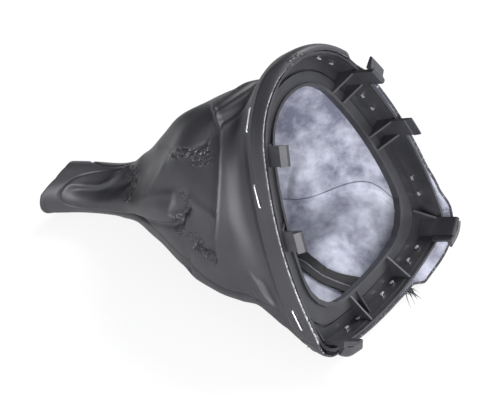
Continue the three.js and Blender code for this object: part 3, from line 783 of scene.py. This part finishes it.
def fibreMaterial(name, dark, light, roughness):
    # Fibre or cloth: two near colours in fine noise
    material, nodes, links, shader = newMaterial(name)
    fibre = noiseNode(nodes, links, fibreLook["size"])
    colourBy(nodes, links, shader, fibre, [(0.35, dark), (0.65, light)])
    bumpBy(nodes, links, shader, fibre, 0.4, fibreLook["height"])
    shader.inputs["Roughness"].default_value = roughness
    return material


leather, lining = leatherMaterial(), liningMaterial()
paleEdge, darkEdge = edgeMaterial("paleEdge", 0.35, 0.6), edgeMaterial("darkEdge", 0.58, 0.75)
strip = fibreMaterial("seamStrip", (0.008, 0.008, 0.009), (0.020, 0.020, 0.022), 0.75)
threadLook = fibreMaterial("sewingThread", (0.10, 0.10, 0.11), (0.24, 0.24, 0.26), 0.8)
plastic, steel = plasticMaterial(), steelMaterial()
print("materials made")

# Rows and columns of the panels' grids. The base panel laps under its neighbours by lap degrees, sunk a
# little deeper than they are thick; the lap ends over lapFade before the sleeve, where the top strip starts
panelGrid = dict(
    rowMm=0.8,
    columns=176,
    tipRows=14,
    endRows=14,
    lap=3.0,
    lapGap=0.1,
    lapFade=30,
    stripBefore=20,
)


def panelRuns():
    # Rows along the boot: even steps, then closer ones where the tip is round
    start = seams["shoulderRun"]
    straight = np.linspace(0, start, int(start / panelGrid["rowMm"]), endpoint=False)
    bend = np.sin(np.linspace(0, math.pi / 2, panelGrid["tipRows"]))
    return np.concatenate([straight, start + (seams["tipRun"] - start) * bend])


def skinOutAt(run, turn):
    normal = skinAt(skinOut, run, turn)
    return normal / np.linalg.norm(normal, axis=-1, keepdims=True)


def patch(left, right, columns):
    # Turns of a grid between two edges, given as turns for each row
    share = np.linspace(0, 1, columns)[None, :]
    return left[:, None] * (1 - share) + right[:, None] * share


def finishPanel(piece, run, turn, darkFaces=0):
    # Thickness, lining and edges. The first darkFaces faces lie along a cut edge that shows dark, and the
    # rest of such a panel's rim has the lining's colour. Without them the whole rim is pale
    kind = np.zeros(len(piece.data.polygons), np.int32)
    kind[:darkFaces] = 3
    piece.data.polygons.foreach_set("material_index", kind)
    share = piece.data.attributes.new("creased", "FLOAT", "POINT")
    share.data.foreach_set("value", skinAt(creased[..., None], run, turn).ravel().astype(np.float32))
    tidyMesh(piece)
    wall = piece.modifiers.new("thickness", "SOLIDIFY")
    wall.thickness = boot["thickness"] * mm
    wall.offset = -1
    wall.material_offset = 1
    wall.material_offset_rim = 1 if darkFaces else 2
    for material in (leather, lining, paleEdge, leather, darkEdge):
        piece.data.materials.append(material)
    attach(piece, "root")


def sidePanel(name, side):
    run = panelRuns()
    upper, lower = panelEdges(run, side)
    turn = patch(upper, lower, panelGrid["columns"])
    turn = turn[:, ::-1] if side > 0 else turn
    run = np.broadcast_to(run[:, None], turn.shape)
    piece = makeMesh(name, skinAt(skin, run, turn).reshape(-1, 3), gridFaces(*turn.shape)[:, ::-1])
    finishPanel(piece, run, turn, 0 if side < 0 else turn.shape[1] - 1)
    return piece


def basePanel(name):
    # The underside between the side panels' lower edges, the strip over the sleeve between their upper
    # edges, and past both tips the whole sleeve
    sleeveStart = seams["sleeveStart"]
    past = np.linspace(seams["tipRun"], runs[-1], panelGrid["endRows"])[1:]
    run = np.concatenate([panelRuns(), past])
    nearUpper, nearLower = panelEdges(run, -1)
    farUpper, farLower = panelEdges(run, 1)
    lap = panelGrid["lap"] * (1 - smoothStep(run, sleeveStart - panelGrid["lapFade"], sleeveStart))
    under = patch(nearLower - lap, farLower + 360 + lap, panelGrid["columns"])
    over = run > sleeveStart - panelGrid["stripBefore"]
    top = patch(farUpper[over], nearUpper[over], panelGrid["columns"] // 2)
    lapped = np.maximum(nearLower[:, None] - under, under - farLower[:, None] - 360)
    sunk = (boot["thickness"] + panelGrid["lapGap"]) * smoothStep(lapped, 0, 1)
    underRun = np.broadcast_to(run[:, None], under.shape)
    topRun = np.broadcast_to(run[over][:, None], top.shape)
    low = skinAt(skin, underRun, under) - sunk[..., None] * skinOutAt(underRun, under)
    points = np.concatenate([low.reshape(-1, 3), skinAt(skin, topRun, top).reshape(-1, 3)])
    faces = np.concatenate([gridFaces(*under.shape), gridFaces(*top.shape, start=under.size)])
    piece = makeMesh(name, points, faces[:, ::-1])
    allRuns = np.concatenate([underRun.ravel(), topRun.ravel()])
    allTurns = np.concatenate([under.ravel(), top.ravel()])
    finishPanel(piece, allRuns, allTurns, under.shape[1] - 1)
    return piece


# The leather panels, each put in place of its CAD node, which is hidden
nearPanel = sidePanel("nearSidePanel", -1)
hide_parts("near_side_panel")
farPanel = sidePanel("farSidePanel", 1)
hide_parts("far_side_panel")
underPanel = basePanel("basePanel")
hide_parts("base_panel")
print("leather panels made")

# The opened seam allowance inside the boot, along the centre seam of the underside
allowance = dict(
    line=(
        (19, 274.5), (25, 268), (31, 263), (36, 260), (40.5, 260.5), (47, 264.5), (54, 269.5), (65, 273.5),
        (90, 272.5), (130, 267.5), (158, 265.5),
    ),
    halfWidth=5.2,
    lift=(1.9, 2.6),
    thickness=0.8,
    seamDepth=0.7,
    seamWidth=0.12,
    edgeWave=(0.10, 2.3),
    curlWave=(0.4, 3.1),
    smooth=12,
    across=13,
    along=260,
    thread=0.45,
)


def makeAllowance():
    # A strip inside the boot along a smoothed line: across it, with x from -1 to 1, it stands in from the
    # leather by low + curl x^2, less a groove at the seam, and its edges and curl wave along it
    line = np.array(allowance["line"], float)
    at = np.linspace(0, len(line) - 1, allowance["along"])
    run, turn = (np.interp(at, np.arange(len(line)), line[:, k]) for k in (0, 1))
    kernel = np.hanning(2 * allowance["smooth"] + 1)
    kernel /= kernel.sum()
    run, turn = (np.pad(v, allowance["smooth"], mode="edge") for v in (run, turn))
    run, turn = (np.convolve(v, kernel, mode="valid") for v in (run, turn))
    ahead = np.stack([np.gradient(run), np.gradient(turn)], 1)
    rows = (run / boot["rowStep"]).astype(int)
    columns = (turn / boot["turnStep"]).astype(int) % len(turns)
    scale = perDegree[rows, columns]
    ahead[:, 1] *= scale
    ahead /= np.linalg.norm(ahead, axis=1, keepdims=True)
    x = np.linspace(-1, 1, allowance["across"])
    height, pace = allowance["edgeWave"]
    wave = 1 + height * np.sin(at * pace)[:, None] * np.abs(x)
    reach = allowance["halfWidth"] * x * wave
    gridRun = run[:, None] - ahead[:, 1:2] * reach
    gridTurn = turn[:, None] + ahead[:, 0:1] * reach / scale[:, None]
    low, high = allowance["lift"]
    height, pace = allowance["curlWave"]
    curl = (high - low) * x**2 * (1 + height * np.sin(at * pace + 1)[:, None])
    lift = low + curl - allowance["seamDepth"] * np.exp(-((x / allowance["seamWidth"]) ** 2))
    points = skinAt(skin, gridRun, gridTurn) - lift[..., None] * skinOutAt(gridRun, gridTurn)
    piece = makeMesh("seamAllowance", points.reshape(-1, 3), gridFaces(*points.shape[:2]), strip)
    wall = piece.modifiers.new("thickness", "SOLIDIFY")
    wall.thickness = allowance["thickness"] * mm
    wall.offset = 0
    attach(piece, "root")
    stitch = skinAt(skin, run, turn) - (low - 0.1) * skinOutAt(run, turn)
    thread = makeTube("seamThread", stitch[::2], allowance["thread"], 6, threadLook)
    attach(thread, "root")


def makeTube(name, path, radius, sides, material):
    # Round tube along a path of points, closed at its ends. Radius is one number or one for each point, and
    # the sides are set out from a direction that no path here follows
    path = np.asarray(path, float)
    ahead = np.gradient(path, axis=0)
    ahead /= np.linalg.norm(ahead, axis=1, keepdims=True)
    aside = np.cross(ahead, [0.36, 0.48, 0.8])
    aside /= np.linalg.norm(aside, axis=1, keepdims=True)
    over = np.cross(ahead, aside)
    angle = np.linspace(0, 2 * math.pi, sides, endpoint=False)[None, :, None]
    ring = np.cos(angle) * aside[:, None] + np.sin(angle) * over[:, None]
    points = path[:, None] + ring * np.broadcast_to(radius, len(path))[:, None, None]
    points = np.concatenate([points.reshape(-1, 3), path[:1], path[-1:]])
    piece = makeMesh(name, points, gridFaces(len(path), sides, closedColumns=True), material)
    count = len(path) * sides
    first = [(k, (k + 1) % sides) for k in range(sides)]
    caps = [(count, b, a) for a, b in first]
    caps += [(count + 1, a + count - sides, b + count - sides) for a, b in first]
    work = bmesh.new()
    work.from_mesh(piece.data)
    work.verts.ensure_lookup_table()
    for cap in caps:
        work.faces.new([work.verts[k] for k in cap])
    bmesh.ops.recalc_face_normals(work, faces=work.faces)
    work.to_mesh(piece.data)
    work.free()
    shadeSmooth(piece.data)
    return piece


stapleWire = dict(radius=0.46, stand=0.28, leg=4.2, bend=0.6)


def makeNearStaples():
    # Crown wire on the leather between its two ends, and two legs into the wall
    for number, (name, ends) in enumerate(nearCrowns.items()):
        run, turn = (np.array([end[k] for end in ends]) for k in (0, 1))
        out = skinOutAt(run, turn).mean(0)
        a, b = skinAt(skin, run, turn) + stapleWire["stand"] * out
        way = (b - a) / np.linalg.norm(b - a)
        bend, leg = stapleWire["bend"] * way, stapleWire["leg"] * out
        soft = 0.3 * stapleWire["bend"] * out
        head = [a - leg, a - 2 * soft, a + bend * 0.3 - soft * 0.4, a + bend]
        tail = [b - bend, b - bend * 0.3 - soft * 0.4, b - 2 * soft, b - leg]
        staple = makeTube(f"nearStaple{number + 1}", head + tail, stapleWire["radius"], 10, steel)
        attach(staple, "root")
        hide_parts(name)


# The clips' outer ends, which stand out further than the moulding's: start and end along the rim, then the
# section as corners of (distance outside the rim, height over it)
hooks = dict(
    farUpper=((53.0, 64.6), ((-2.6, 9.0), (4.4, 9.0), (4.4, 10.1), (3.6, 10.8), (-2.6, 12.3))),
    farShort=((97.4, 109.4), ((-3.6, 7.5), (-2.1, 7.5), (-2.1, 12.0), (-3.0, 12.0))),
    farCorner=((169.8, 185.6), ((-2.6, 9.0), (2.2, 9.0), (2.2, 10.1), (1.4, 10.8), (-2.6, 12.3))),
    farCornerWall=((180.5, 185.6), ((-3.9, -1.0), (-2.1, -1.0), (-2.1, 12.2), (-3.5, 12.2))),
    nearCorner=((-187.0, -169.8), ((-2.6, 9.0), (2.4, 9.0), (2.4, 10.1), (1.6, 10.8), (-2.6, 12.3))),
    nearCornerWall=((-187.0, -180.5), ((-3.9, -1.0), (-2.1, -1.0), (-2.1, 12.2), (-3.5, 12.2))),
)


def makeHooks():
    # Each section carried along the rim, its outward direction turning with the outline
    points, outs, run = rimRing()
    for name, ((start, end), section) in hooks.items():
        at = np.linspace(start, end, 12) % run[-1]
        u, v = (np.interp(at, run, points[:, k]) for k in (0, 1))
        outU, outV = (np.interp(at, run, outs[:, k]) for k in (0, 1))
        rows = [framePoint(u + out * outU, v + out * outV, height) for out, height in section]
        corners = np.stack(rows, 1)
        faces = gridFaces(*corners.shape[:2], closedColumns=True)
        hook = makeMesh(f"{name}Clip", corners.reshape(-1, 3), faces, plastic, smooth=False)
        closeMesh(hook)
        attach(hook, "root")


def closeMesh(piece):
    # Fills the open ends of a mesh and points its faces outwards
    work = bmesh.new()
    work.from_mesh(piece.data)
    bmesh.ops.holes_fill(work, edges=work.edges, sides=0)
    bmesh.ops.recalc_face_normals(work, faces=work.faces)
    work.to_mesh(piece.data)
    work.free()


frays = dict(
    count=20,
    radius=0.3,
    length=(2.5, 7.5),
    seed=4,
    places=((0.4, 279), (0.4, 284)),
    outward=(0.2, 1),
    lean=(0.55, 0, 0.1),
    spread=0.45,
    curl=0.5,
    droop=0.5,
)


def makeFrays():
    # Broken threads at the end of the centre seam: root + length (way t + 0.6 curl t^2), thinner towards
    # the end. The first is sewing thread, the others come from the strip
    dice = np.random.default_rng(frays["seed"])
    share = dice.uniform(0, 1, frays["count"])
    first, last = np.array(frays["places"], float)
    run, turn = (first[k] + (last[k] - first[k]) * share for k in (0, 1))
    roots, outs = skinAt(skin, run, turn), skinOutAt(run, turn)
    t = np.linspace(0, 1, 9)[:, None]
    thinner = frays["radius"] * (1.15 - t[:, 0])
    for k in range(frays["count"]):
        length = dice.uniform(*frays["length"])
        way = outs[k] * dice.uniform(*frays["outward"]) + dice.normal(0, frays["spread"], 3) + frays["lean"]
        way /= np.linalg.norm(way)
        curl = dice.normal(0, frays["curl"], 3) + np.array([0, 0, -frays["droop"]])
        path = roots[k] - outs[k] * 0.6 + length * (way * t + curl * 0.6 * t**2)
        fray = makeTube(f"fray{k + 1}", path, thinner, 5, strip if k else threadLook)
        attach(fray, "root")


makeAllowance()
makeNearStaples()
makeHooks()
makeFrays()
print("seam allowance, staples, clip ends and frays made")

# The CAD nodes that stay keep their shape and get their finish, with edges past this angle left sharp
sharpDeg = 28
for name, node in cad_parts.items():
    node.data.materials.clear()
    node.data.materials.append(plastic if name == "clip_frame" else steel)
    shadeSmooth(node.data)
    node.data.set_sharp_from_angle(angle=math.radians(sharpDeg))

studio = dict(
    floorSize=12.0,
    floorColour=(0.93, 0.93, 0.94),
    glow=0.8,
    mirrored=0.25,
    worldColour=(0.90, 0.92, 1.0),
    # from and to along x, and the strengths there: the room is dark on the left
    worldStrength=(-0.5, 0.7, 0.10, 1.05),
    lampAim=(0, 0, 0.06),
    # name, place, size and power
    lamps=(
        ("back", (0.25, 1.0, 1.1), 1.0, 26.0),
        ("front", (0.8, -1.15, 0.5), 0.9, 32.0),
    ),
    cameraAt=(0.5191, -0.7721, 0.8382),
    cameraTilt=49.15,
    cameraTurn=33.71,
    lens=157.8,
)


def makeFloor():
    half = studio["floorSize"] / mm / 2
    corners = [(-half, -half, 0), (half, -half, 0), (half, half, 0), (-half, half, 0)]
    floor = makeMesh("floor", corners, [(0, 1, 2, 3)])
    material, nodes, links, shader = newMaterial("paleFloor")
    shader.inputs["Base Color"].default_value = (*studio["floorColour"], 1)
    shader.inputs["Roughness"].default_value = 0.9
    shader.inputs["Specular IOR Level"].default_value = 0.1
    # white where the camera, a mirror or glass sees it, mixed in by glow so that the shadow stays
    rays = nodes.new("ShaderNodeLightPath").outputs
    mirror = mathNode(nodes, links, "MULTIPLY", rays["Is Glossy Ray"], studio["mirrored"])
    seen = mathNode(nodes, links, "MAXIMUM", rays["Is Camera Ray"], mirror)
    through = mathNode(nodes, links, "MAXIMUM", seen, rays["Is Transmission Ray"])
    share = mathNode(nodes, links, "MULTIPLY", through, studio["glow"])
    glow = addNode(nodes, "ShaderNodeEmission", Color=(1, 1, 1, 1), Strength=1.0)
    mix = nodes.new("ShaderNodeMixShader")
    links.new(share, mix.inputs["Fac"])
    links.new(shader.outputs["BSDF"], mix.inputs[1])
    links.new(glow.outputs["Emission"], mix.inputs[2])
    links.new(mix.outputs["Shader"], nodes["Material Output"].inputs["Surface"])
    floor.data.materials.append(material)


def makeLights():
    world = bpy.data.worlds.new("studio")
    bpy.context.scene.world = world
    world.use_nodes = True
    nodes, links = world.node_tree.nodes, world.node_tree.links
    background = nodes["Background"]
    background.inputs["Color"].default_value = (*studio["worldColour"], 1)
    way, parts = nodes.new("ShaderNodeTexCoord"), nodes.new("ShaderNodeSeparateXYZ")
    links.new(way.outputs["Generated"], parts.inputs["Vector"])
    strength = mapRange(nodes, studio["worldStrength"])
    links.new(parts.outputs["X"], strength.inputs["Value"])
    links.new(strength.outputs["Result"], background.inputs["Strength"])
    for name, place, size, power in studio["lamps"]:
        lamp = bpy.data.lights.new(name, "AREA")
        lamp.shape = "SQUARE"
        lamp.size = size
        lamp.energy = power
        holder = bpy.data.objects.new(name, lamp)
        holder.location = place
        aim = np.array(studio["lampAim"]) - np.array(place)
        holder.rotation_euler = (math.acos(-aim[2] / np.linalg.norm(aim)), 0, math.atan2(-aim[0], aim[1]))
        bpy.context.scene.collection.objects.link(holder)


def makeCamera():
    lens = bpy.data.cameras.new("camera")
    lens.lens = studio["lens"]
    camera = bpy.data.objects.new("camera", lens)
    camera.location = studio["cameraAt"]
    camera.rotation_euler = (math.radians(studio["cameraTilt"]), 0, math.radians(studio["cameraTurn"]))
    bpy.context.scene.collection.objects.link(camera)
    bpy.context.scene.camera = camera


makeFloor()
makeLights()
makeCamera()
bpy.context.scene.view_settings.view_transform = "Standard"
print("scene ready")
